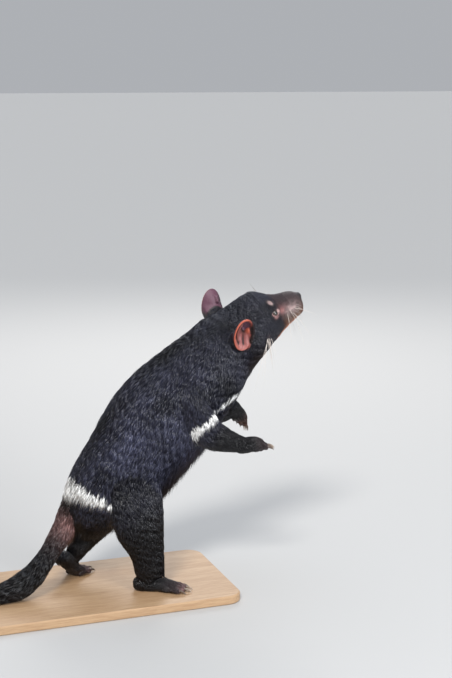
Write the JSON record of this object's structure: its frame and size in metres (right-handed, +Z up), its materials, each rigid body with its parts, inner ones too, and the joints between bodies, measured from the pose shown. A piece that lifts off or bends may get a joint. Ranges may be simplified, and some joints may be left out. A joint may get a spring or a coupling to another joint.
{
  "type": "tasmanian devil",
  "caption": "Still life-size model of a Tasmanian devil rearing on its hind legs with forepaws raised, head up and mouth shut, on a thin wooden base.",
  "frame": {"origin": "centre of the footprint of the whole model, on the underside of the display base", "axes": "+Z up, +X the way the body faces, +Y the animal's left side"},
  "size_m": [0.6206, 0.246, 0.5011],
  "materials": {
    "coat": "short coarse glossy hair",
    "bare_skin": "bare wrinkled skin with sparse hair",
    "ear_skin": "thin bare skin, translucent at the rim",
    "nose_skin": "moist pebbled skin",
    "eye": "wet gloss",
    "claw": "horn, satin",
    "stand_wood": "satin varnish"
  },
  "bodies": {
    "root": {"torso": "coat", "neck": "coat", "head": "coat", "lower_jaw": "coat", "nose": "nose_skin", "eye_left": "eye", "eye_right": "eye", "ear_left": "ear_skin", "ear_right": "ear_skin", "tail": "coat", "foreleg_left": "coat", "foreleg_right": "coat", "forepaw_left": "bare_skin", "forepaw_right": "bare_skin", "hind_leg_left": "coat", "hind_leg_right": "coat", "hind_foot_left": "bare_skin", "hind_foot_right": "bare_skin", "stand_base": "stand_wood"}
  },
  "joints": []
}
